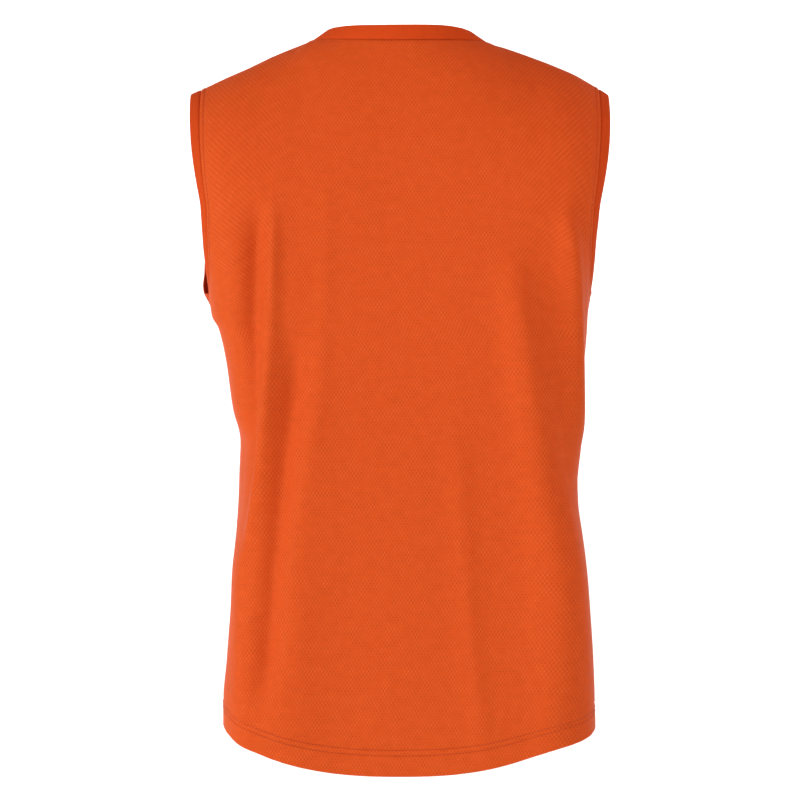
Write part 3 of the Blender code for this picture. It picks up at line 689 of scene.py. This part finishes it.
def add_piece(name, points, faces, coordinates, material, ring_length=None):
    """A smooth mesh object from points in millimetres, with coordinates in millimetres as its UV map."""
    mesh = bpy.data.meshes.new(name)
    mesh.from_pydata((np.asarray(points) * MM).tolist(), [], faces)
    layer = mesh.uv_layers.new(name="knit")
    corners = np.zeros(len(mesh.loops), dtype=np.int32)
    mesh.loops.foreach_get("vertex_index", corners)
    places = np.asarray(coordinates)[corners]
    if ring_length:                 # where a ring closes, its first points count as its last
        places = places.reshape(-1, 4, 2)
        crosses = np.ptp(places[..., 0], axis=1) > ring_length / 2
        low = places[..., 0] < ring_length / 2
        places[..., 0] += ring_length * (crosses[:, None] & low)
        places = places.reshape(-1, 2)
    layer.data.foreach_set("uv", (places * MM).astype(np.float32).ravel())
    mesh.shade_smooth()
    mesh.set_sharp_from_angle(angle=SHARP_TURN)
    mesh.materials.append(material)
    piece = bpy.data.objects.new(name, mesh)
    bpy.context.scene.collection.objects.link(piece)
    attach(piece, "root")
    return piece


def quads(rows, columns):
    """Faces of a grid of rows x columns vertices."""
    return [(r * columns + c, r * columns + c + 1, (r + 1) * columns + c + 1, (r + 1) * columns + c)
            for r in range(rows - 1) for c in range(columns - 1)]


def ring_quads(rows, columns):
    """Faces of a tube bent into a ring: both its rows and its columns close."""
    return [(r * columns + c, r * columns + (c + 1) % columns,
             (r + 1) % rows * columns + (c + 1) % columns, (r + 1) % rows * columns + c)
            for r in range(rows) for c in range(columns)]


def shell(name, outer, normals, wall, coordinates, material, facing):
    """A thin closed shell. It is one long grid: down the inner face, round the foot and up the outer face."""
    inner = outer - normals * wall[..., None]
    down, half = unit(outer[0] - outer[1]), wall[0][:, None] / 2
    angles = [math.pi * turn for turn in FOOT_TURNS]
    foot = [outer[0] - normals[0] * half * (1.0 - math.cos(a)) + down * half * math.sin(a) for a in angles]
    foot_places = [coordinates[0] - half * a * np.array([0.0, 1.0]) for a in angles]
    sheet = np.concatenate([inner[::-1], foot, outer])
    places = np.concatenate([coordinates[::-1], foot_places, coordinates])
    rows, columns = sheet.shape[:2]
    last = (rows - 1) * columns
    faces = quads(rows, columns) + [(last + c, last + c + 1, c + 1, c) for c in range(columns - 1)]
    for column in (0, columns - 1):
        side = [tuple(row * columns + column for row in (r, r + 1, rows - 2 - r, rows - 1 - r))
                for r in range(len(inner) - 1)]
        side.append(tuple((len(inner) - 1 + k) * columns + column for k in range(len(foot) + 2)))
        faces += side if column == 0 else [face[::-1] for face in side]
    if facing > 0:
        faces = [face[::-1] for face in faces]
    return add_piece(name, sheet.reshape(-1, 3), faces, places.reshape(-1, 2), material)


print("mesh helpers ready")

# %% [markdown]
# ## Micro-mesh knit
#
# The panels are polyester micro-mesh, knitted on a circular machine with tiny tuck-stitch holes in staggered
# rows, so that it lets sweat out. The yarn is textured filament, which gives a matte surface with a faint
# soft sheen where it turns away. The real holes are about 1.7 mm apart, which is too fine to show at this
# size. They are drawn 3.3 mm apart across, in rows 2.7 mm apart, about as coarse as the photograph's own
# pixels show them. Beside each hole the yarn bunches into a small crest, which catches the light, so a
# lighter orange is painted there as a painted highlight. Both come and go in soft patches, because the
# cloth is nowhere stretched evenly. Real holes would need millions of faces, so a pattern of nodes sinks
# their places instead and paints them dark orange: painted shade, where a real hole would show the shaded
# inside of the garment. The colour also drifts slightly, as it does in piece-dyed yarn.

# %% Knit the micro-mesh
ORANGE = linear("#CE511F")
# painted shade: a dark orange for the holes, where a real hole would show the shaded inside
ORANGE_HOLE_SHADE = linear("#8E260A")
# painted highlight: a lighter orange for the yarn's crests beside the holes, where they catch the light
ORANGE_CREST_HIGHLIGHT = linear("#EC7A44")
HOLE_ACROSS = 3.3 * MM
HOLE_UP = 5.4 * MM              # two staggered rows
HOLE_RADIUS = 0.95 * MM
HOLE_FLOOR = 0.35               # share of its radius within which a hole is at full depth
HOLE_SHADE = 0.42               # how far the colour turns to the painted shade in the holes
YARN = 0.45 * MM
DYE = (0.97, 1.03)              # how far the dye's tone drifts
# Polyester yarn is matte: at a plastic's usual IOR it has hardly any gloss, and a trace of warm sheen.
YARN_SURFACE = {"IOR": 1.5, "Specular IOR Level": 0.05, "Sheen Weight": 0.01, "Sheen Roughness": 0.45,
                "Sheen Tint": linear("#FFB38C")}


def knit_holes(tree, place):
    """1 in the middle of each hole and 0 between them. Every second row is staggered by half a step."""
    cells = add(tree, "ShaderNodeVectorMath", {0: place, 1: (1.0 / HOLE_ACROSS, 1.0 / HOLE_UP, 0.0)},
                operation="MULTIPLY")
    distances = []
    for shift in (0.0, 0.5):
        moved = add(tree, "ShaderNodeVectorMath", {0: cells.outputs[0], 1: (shift, shift, 0.0)}, operation="ADD")
        part = add(tree, "ShaderNodeVectorMath", {0: moved.outputs[0]}, operation="FRACTION")
        centred = add(tree, "ShaderNodeVectorMath", {0: part.outputs[0], 1: (0.5, 0.5, 0.0)},
                      operation="SUBTRACT")
        scaled = add(tree, "ShaderNodeVectorMath", {0: centred.outputs[0], 1: (HOLE_ACROSS, HOLE_UP, 0.0)},
                     operation="MULTIPLY")
        away = add(tree, "ShaderNodeVectorMath", {0: scaled.outputs[0]}, operation="LENGTH")
        distances.append(away.outputs["Value"])
    nearest = add(tree, "ShaderNodeMath", {0: distances[0], 1: distances[1]}, operation="MINIMUM")
    hole = add(tree, "ShaderNodeMapRange", {"Value": nearest.outputs[0], "From Min": HOLE_RADIUS,
                                            "From Max": HOLE_RADIUS * HOLE_FLOOR},
               interpolation_type="SMOOTHSTEP")
    return hole.outputs["Result"]


def uneven(tree, place, swell, seen, spread, detail=2.0):
    """Noise with swells of so many metres on each axis. Its values from seen[0] to seen[1] fill the spread."""
    scale = [1.0 / size for size in swell] + [0.0] * (3 - len(swell))
    scaled = add(tree, "ShaderNodeVectorMath", {0: place, 1: scale}, operation="MULTIPLY")
    noise = add(tree, "ShaderNodeTexNoise", {"Vector": scaled.outputs[0], "Scale": 1.0, "Detail": detail})
    level = add(tree, "ShaderNodeMapRange", {"Value": noise.outputs["Fac"], "From Min": seen[0],
                                             "From Max": seen[1], "To Min": spread[0], "To Max": spread[1]})
    return level.outputs["Result"]


def knitted(tree, shader, tone, level, dye, roughness, yarn, depth, strength, distance):
    """What both knits share: dye that drifts, yarn in relief less the pattern's depth, and matte patches."""
    colour = add(tree, "ShaderNodeVectorMath", {0: tone.outputs["Result"], "Scale": level}, operation="SCALE")
    relief = add(tree, "ShaderNodeMath", {0: yarn, 1: depth}, operation="SUBTRACT")
    bump = add(tree, "ShaderNodeBump", {"Height": relief.outputs[0], "Strength": strength,
                                        "Distance": distance})
    matte = add(tree, "ShaderNodeMapRange", {"Value": dye, "From Min": DYE[0], "From Max": DYE[1],
                                             "To Min": roughness[0], "To Max": roughness[1]})
    tree.links.new(colour.outputs[0], shader.inputs["Base Color"])
    tree.links.new(bump.outputs["Normal"], shader.inputs["Normal"])
    tree.links.new(matte.outputs["Result"], shader.inputs["Roughness"])


print("holes are drawn", round(HOLE_ACROSS / MM, 1), "mm apart")

# %% [markdown]
# The micro-mesh puts these together: its holes with their painted shade, then the painted highlight on the
# crests half a step beside them, then the courses of the knit, which are faint lines across, and the mottle
# of the dye.

# %% The finish of the micro-mesh
def micro_mesh_polyester():
    material, tree, shader = new_material("micro_mesh_polyester_knit", YARN_SURFACE)
    place = add(tree, "ShaderNodeUVMap", uv_map="knit").outputs["UV"]
    patches = uneven(tree, place, (14 * MM, 9 * MM), (0.35, 0.65), (0.15, 1.0))
    depth = add(tree, "ShaderNodeMath", {0: knit_holes(tree, place), 1: patches},
                operation="MULTIPLY").outputs[0]
    shade = add(tree, "ShaderNodeMath", {0: depth, 1: HOLE_SHADE}, operation="MULTIPLY").outputs[0]
    # painted shade: the holes turn dark orange in soft patches
    dark = add(tree, "ShaderNodeMix", {"Factor": shade, "A": ORANGE, "B": ORANGE_HOLE_SHADE}, data_type="RGBA")
    beside = add(tree, "ShaderNodeVectorMath", {0: place, 1: (HOLE_ACROSS / 2, 0.0, 0.0)},
                 operation="ADD").outputs[0]
    # painted highlight: the crests half a step beside the holes turn lighter in soft patches
    crest_highlight_patches = uneven(tree, beside, (9 * MM, 13 * MM), (0.4, 0.62), (0.0, 0.28))
    crest_highlight = add(tree, "ShaderNodeMath", {0: knit_holes(tree, beside), 1: crest_highlight_patches}, operation="MULTIPLY").outputs[0]
    tone = add(tree, "ShaderNodeMix", {"Factor": crest_highlight, "A": dark.outputs["Result"], "B": ORANGE_CREST_HIGHLIGHT},
               data_type="RGBA")
    courses = uneven(tree, place, (45 * MM, 2.4 * MM), (0.3, 0.7), (0.985, 1.015), detail=3.0)
    dye = uneven(tree, place, (7 * MM, 6 * MM), (0.3, 0.7), DYE, detail=4.0)
    level = add(tree, "ShaderNodeMath", {0: courses, 1: dye}, operation="MULTIPLY").outputs[0]
    yarn = uneven(tree, place, (YARN, YARN * 1.6), (0.0, 1.0), (0.0, 0.25))
    knitted(tree, shader, tone, level, dye, (0.66, 0.78), yarn, depth, strength=0.35, distance=0.22 * MM)
    return material


KNIT = micro_mesh_polyester()
print("nodes in the knit:", len(KNIT.node_tree.nodes))

# %% [markdown]
# ## The two panels
#
# Both panels are now cut from the same knit and shelled. Their edges follow the same curves, so the side
# seams and the shoulder seams close with no gap to fill. Each panel replaces its plain node of the packed
# model.

# %% Make the back and the front panel
def sew_panel(name, panel):
    places = stack(panel["across"], panel["up"], 0.0)[..., :2]
    piece = shell(name + "_panel", panel["points"], panel["normals"], panel["wall"], places, KNIT,
                  panel["facing"])
    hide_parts(name)
    return piece


back_panel = sew_panel("back", BACK)
front_panel = sew_panel("front", FRONT)
print("faces in the back panel:", len(back_panel.data.polygons))

# %% [markdown]
# ## Bands
#
# Each band is a strip of the same yarn in plain jersey, folded in half along its length and sewn on by its
# two raw edges. It is built as that: the strip's cross-section is a hairpin, two thin layers joined by a
# fold, and it is carried along the seam. A curve with a bevel would give a round rope, and a solid ring
# would not show the soft fold. The seam is taken from the panels' own edge points, laid end to end.

# %% Follow a seam round
BAND_STEP = 2.6                 # distance between two sections of a band
LEFT_POINT = len(EDGE_COLUMNS) - 1 + OUTER_COLUMNS
RIGHT_POINT = LEFT_POINT + INNER_COLUMNS


def even_out(vectors, passes):
    """Smooths directions round a closed ring."""
    for _ in range(passes):
        vectors = unit(vectors * 2.0 + np.roll(vectors, 1, axis=0) + np.roll(vectors, -1, axis=0))
    return vectors


def read_along(run, values, at):
    """A line's values at one distance along it, or at several."""
    return np.stack([np.interp(at, run, values[:, k]) for k in range(3)], axis=-1)


def resample(*rings):
    """The rings' values at even steps along the first one, then the steps and its length."""
    rings = [np.concatenate([ring, ring[:1]]) for ring in rings]
    run = lengths(rings[0], axis=0)
    at = np.linspace(0.0, run[-1], int(round(run[-1] / BAND_STEP)) + 1)[:-1]
    return *(read_along(run, ring, at) for ring in rings), at, run[-1]


def joined(first, second):
    """Two runs of values end to end as a ring. Where they meet, it takes the middle of their ends."""
    return np.concatenate([[(first[0] + second[-1]) / 2], first[1:-1],
                           [(first[-1] + second[0]) / 2], second[1:-1]])


def armhole_seam(column):
    """Up the back panel's edge from the armpit, over the shoulder and down the front's, with the normals."""
    seam, out = (joined(BACK[kind][BACK["armhole"], column], FRONT[kind][FRONT["armhole"], column][::-1])
                 for kind in ("seam", "seam_normals"))
    return resample(seam, unit(out))


def neck_seam():
    """Across the back from the left shoulder point, then back along the front."""
    inner = slice(LEFT_POINT, RIGHT_POINT + 1)
    return resample(joined(BACK["seam"][-1, inner], FRONT["seam"][-1, inner][::-1]))


print("neck seam:", round(neck_seam()[-1]), "mm, left armhole seam:", round(armhole_seam(0)[-1]), "mm")

# %% [markdown]
# An armhole band carries on from the panel in the cloth's own direction. That direction is evened out round
# the ring, so that no small bend of the panel's edge reaches the band's fold. The neckband leans in towards
# the neck: least behind, more in front and most at the shoulder points. Both pucker slightly where the seam
# draws them in, and their folds wave a little, as a doubled strip does that nothing holds.

# %% Fold the strips and carry them round
ARMHOLE_BAND = {"width": 12.0, "wall": 2.0, "layer": 0.7}
NECKBAND = {"width": 16.0, "wall": 2.2, "layer": 0.75}
NECK_LEAN, LEAN_AT_POINTS, LEAN_IN_FRONT = 12.0, 47.0, 16.0     # degrees; the last two are added
SMOOTHING = 60                  # passes that even out the directions round a seam
PUCKER, PUCKER_LENGTH, PUCKER_LOST = 0.16, 5.0, 0.6             # the last is the share lost at the fold
WAVE, WAVE_COUNTS = 0.3, (3.0, 5.0)                             # slow waves of the fold, round the ring


def folded_strip(width, wall, layer):
    """Section of a strip folded in half: (along, out) points round both layers, outer face first.

    The raw edges lie under the panel, from -3.5 to about 0.5 along; the seam is at 0."""
    half = wall / 2
    face = [(-3.5, -2.4), (-0.5, -2.1), (0.3, -1.4), (0.7, -0.5), (1.6, 0.1), (width * 0.35, 0.2),
            (width * 0.7, 0.12)]
    fold = [(width - half + half * math.cos(a), -half + half * math.sin(a))
            for a in np.radians([90.0, 60.0, 30.0, 0.0, -30.0, -60.0, -90.0])]
    lining = [(width * 0.7, -wall), (width * 0.35, -wall - 0.05), (1.8, -wall - 0.1), (0.4, -wall - 1.0),
              (-3.5, -wall - 1.7)]
    inside = [(-3.5, -wall - 1.7 + layer), (0.7, -wall - 0.95 + layer), (width * 0.5, -wall + layer),
              (width - half, -wall + layer), (width - half * 0.6, -half), (width - half, -layer),
              (width * 0.5, -layer), (1.6, -layer), (0.9, -1.4), (0.2, -2.2), (-0.6, -2.9), (-3.5, -3.1)]
    return np.array(face + fold + lining + inside)


def carry_round(name, seam, out, along, at, ring_length, strip, material, seed):
    """The strip's section is set up at each point of the seam, with puckers that fade towards its fold."""
    profile = folded_strip(**strip)
    shares = np.clip(profile[:, 0] / strip["width"], 0.0, 1.0)[None, :]
    turn = 2.0 * math.pi * at / ring_length
    pucker = PUCKER * drift(at, 0.0 * at, PUCKER_LENGTH, 1.0, seed)[:, None] * (1.0 - PUCKER_LOST * shares)
    waves = sum(np.sin(count * turn + (k + 1) * seed) for k, count in enumerate(WAVE_COUNTS))
    outs = profile[None, :, 1] + pucker + WAVE * waves[:, None] * shares
    points = seam[:, None] + along[:, None] * profile[None, :, :1] + out[:, None] * outs[..., None]
    places = np.stack(np.broadcast_arrays(at[:, None], lengths(profile, axis=0)[None, :]), axis=-1)
    faces = ring_quads(*points.shape[:2])
    points = points.reshape(-1, 3)
    corners = points[np.array(faces)]
    if np.sum(np.cross(corners[:, 0], corners[:, 1]) * corners[:, 2]) < 0.0:    # the faces look inwards
        faces = [face[::-1] for face in faces]
    return add_piece(name, points, faces, places.reshape(-1, 2), material, ring_length)


def directions(seam):
    return unit(np.roll(seam, -1, axis=0) - np.roll(seam, 1, axis=0))


def armhole_band(name, column, material, seed):
    seam, out, at, ring_length = armhole_seam(column)
    out = even_out(out, SMOOTHING // 3)
    along = unit(np.cross(directions(seam), out))
    if np.sum(along * (seam.mean(axis=0) - seam)) < 0.0:
        along = -along
    along = even_out(along, SMOOTHING)
    along = unit(along - out * np.sum(out * along, axis=1, keepdims=True))
    return carry_round(name, seam, out, along, at, ring_length, ARMHOLE_BAND, material, seed)


def neckband(name, material, seed):
    seam, at, ring_length = neck_seam()
    outward = unit(np.cross(directions(seam), (0.0, 0.0, 1.0)))
    if np.sum(outward * (seam - seam.mean(axis=0))) < 0.0:
        outward = -outward
    side = np.clip(np.abs(seam[:, 0]) / NECK_HALF_WIDTH, 0.0, 1.0)
    in_front = np.clip(seam[:, 1] / FRONT["neck_depth"], 0.0, 1.0)
    lean = np.radians(NECK_LEAN + LEAN_AT_POINTS * side ** 3 + LEAN_IN_FRONT * in_front)[:, None]
    upward = unit(np.cross(outward, directions(seam)))
    upward = upward * np.sign(upward[:, 2:3])
    stand = even_out(unit(upward * np.cos(lean) - outward * np.sin(lean)), SMOOTHING)
    out = unit(outward - stand * np.sum(outward * stand, axis=1, keepdims=True))
    return carry_round(name, seam, out, stand, at, ring_length, NECKBAND, material, seed)


print("points round the folded strip:", len(folded_strip(**NECKBAND)))

# %% [markdown]
# ## Jersey
#
# The bands are single jersey, which shows as fine upright columns of stitches called wales. The knit is
# closed, so it looks a little deeper in colour than the open mesh beside it. Real wales lie 0.7 mm apart.
# They are drawn 1.4 mm apart, so that they show at this size. A sine wave along the strip shades and sinks
# the places between them, and the yarn itself is that of the mesh.

# %% Knit the jersey
BAND_ORANGE = linear("#C8481A")
BAND_SHADE = linear("#B43804")
WALE = 1.4 * MM
WALE_SHADE = 0.3                # how far the colour turns to the shade between two wales


def doubled_polyester_jersey():
    material, tree, shader = new_material("doubled_polyester_jersey", YARN_SURFACE)
    place = add(tree, "ShaderNodeUVMap", uv_map="knit").outputs["UV"]
    along = add(tree, "ShaderNodeSeparateXYZ", {"Vector": place}).outputs["X"]
    turn = add(tree, "ShaderNodeMath", {0: along, 1: 2.0 * math.pi / WALE}, operation="MULTIPLY")
    wave = add(tree, "ShaderNodeMath", {0: turn.outputs[0]}, operation="SINE")
    wale = add(tree, "ShaderNodeMapRange", {"Value": wave.outputs[0], "From Min": -1.0}).outputs["Result"]
    shade = add(tree, "ShaderNodeMath", {0: wale, 1: WALE_SHADE}, operation="MULTIPLY").outputs[0]
    tone = add(tree, "ShaderNodeMix", {"Factor": shade, "A": BAND_ORANGE, "B": BAND_SHADE}, data_type="RGBA")
    dye = uneven(tree, place, (8 * MM, 6 * MM), (0.3, 0.7), DYE, detail=4.0)
    yarn = uneven(tree, place, (YARN, YARN * 2.0), (0.0, 1.0), (0.0, 0.3))
    knitted(tree, shader, tone, dye, dye, (0.76, 0.86), yarn, wale, strength=0.4, distance=0.12 * MM)
    return material


JERSEY = doubled_polyester_jersey()
print("nodes in the jersey:", len(JERSEY.node_tree.nodes))

# %% [markdown]
# ## The three bands
#
# The neckband and the two armhole bands are sewn on, and replace their plain nodes. Each has its own seed,
# so that no two bands pucker alike.

# %% Make the bands
bands = {
    "neckband": neckband("neck_rib", JERSEY, 3),
    "armhole_band_left": armhole_band("armhole_binding_left", 0, JERSEY, 5),
    "armhole_band_right": armhole_band("armhole_binding_right", -1, JERSEY, 8),
}
for node, piece in bands.items():
    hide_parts(node)
print("bands:", [piece.name for piece in bands.values()])

# %% [markdown]
# ## Thread
#
# The hem is held by a coverstitch machine: two needles sew two parallel rows on the outside. One more row
# beside each armhole holds that seam flat. A painted line would vanish close up, so every stitch is a
# little mesh of its own: a spindle of thread, 2.5 mm long, that dips into the cloth at both ends. There is
# one every 3 mm.

# %% Spin the thread
THREAD_ORANGE = linear("#A8380C")
FIBRE = 0.4 * MM                # the light and dark of the twisted fibres
STITCH_PITCH = 3.0
STITCH_LENGTH = 2.5
THREAD_RADIUS = 0.26
THREAD_SIDES = 6
AHEAD = 0.5                     # how far along its line a stitch looks for its direction
# along a stitch: share of its length, share of the thread's radius, height of its middle above the cloth
STITCH = ((0.0, 0.3, -0.35), (0.14, 1.0, 0.05), (0.5, 1.1, 0.16), (0.86, 1.0, 0.05), (1.0, 0.3, -0.35))


def polyester_thread():
    """Spun thread is rounder and closer than knitted yarn, so it has a little more gloss."""
    material, tree, shader = new_material("spun_polyester_thread",
                                          {"Roughness": 0.6, "Specular IOR Level": 0.35})
    place = add(tree, "ShaderNodeTexCoord").outputs["Object"]
    level = uneven(tree, place, (FIBRE, FIBRE, FIBRE), (0.3, 0.7), (0.9, 1.08))
    colour = add(tree, "ShaderNodeVectorMath", {0: THREAD_ORANGE[:3], "Scale": level}, operation="SCALE")
    tree.links.new(colour.outputs[0], shader.inputs["Base Color"])
    return material


THREAD = polyester_thread()
print("nodes in the thread:", len(THREAD.node_tree.nodes))

# %% [markdown]
# A sewing line is a row of points on the cloth with the cloth's normals. Stitches are set along it at an
# even pitch, each one a tube through five rings that is closed at both ends. All the stitches of one hem or
# armhole are one object, so that the thread moves and is listed with its cloth.

# %% Sew the lines
def sew_line(name, lines):
    """One object for several lines of stitches. Each line is (points, normals) in millimetres."""
    points, places, faces = [], [], []
    sides = range(THREAD_SIDES)
    for line, normals in lines:
        run = lengths(line, axis=0)
        for start in np.arange(STITCH_PITCH / 2, run[-1] - STITCH_LENGTH, STITCH_PITCH):
            first = len(points)
            for share, thickness, lift in STITCH:
                at = start + STITCH_LENGTH * share
                centre, up = read_along(run, line, at), unit(read_along(run, normals, at))
                side = unit(np.cross(unit(read_along(run, line, at + AHEAD) - centre), up))
                reach = THREAD_RADIUS * thickness
                for a in (2.0 * math.pi * k / THREAD_SIDES for k in sides):
                    points.append(centre + up * (lift + reach * math.sin(a)) + side * reach * math.cos(a))
                    places.append((at, reach * a))
            last = len(points) - THREAD_SIDES
            for a in range(first, last, THREAD_SIDES):
                b = a + THREAD_SIDES
                faces += [(a + k, a + (k + 1) % THREAD_SIDES, b + (k + 1) % THREAD_SIDES, b + k) for k in sides]
            faces += [tuple(first + k for k in reversed(sides)), tuple(last + k for k in sides)]
    piece = add_piece(name, points, faces, places, THREAD)
    return piece


def hem_lines(panel):
    rows = [HEM_ROWS.index(line) for line in HEM_LINES]
    return [(panel["points"][row], panel["normals"][row]) for row in rows]


def topstitch_lines(column):
    index = EDGE_COLUMNS.index(TOPSTITCH)
    column = index if column == 0 else -1 - index
    return [(p["points"][p["armhole"], column], p["normals"][p["armhole"], column]) for p in (BACK, FRONT)]


hem_stitching_back = sew_line("hem_stitching_back", hem_lines(BACK))
hem_stitching_front = sew_line("hem_stitching_front", hem_lines(FRONT))
topstitching_left = sew_line("armhole_topstitch_left", topstitch_lines(0))
topstitching_right = sew_line("armhole_topstitch_right", topstitch_lines(-1))
print("faces in the back hem's stitches:", len(hem_stitching_back.data.polygons))

# %% [markdown]
# ## What was cut
#
# Each piece was a flat length of knit before it was sewn. A panel's cut is as wide as half the chest and as
# long as the back from hem to shoulder point, each with its seam allowances and the hem's turning; the
# armholes and the neck come off its area. A band's cut is twice its finished width, because it is folded,
# with 5 or 6 mm of seam allowance on each raw edge, and a little shorter than its seam, because it is
# stretched on.

print("pieces cut from knit: 5")
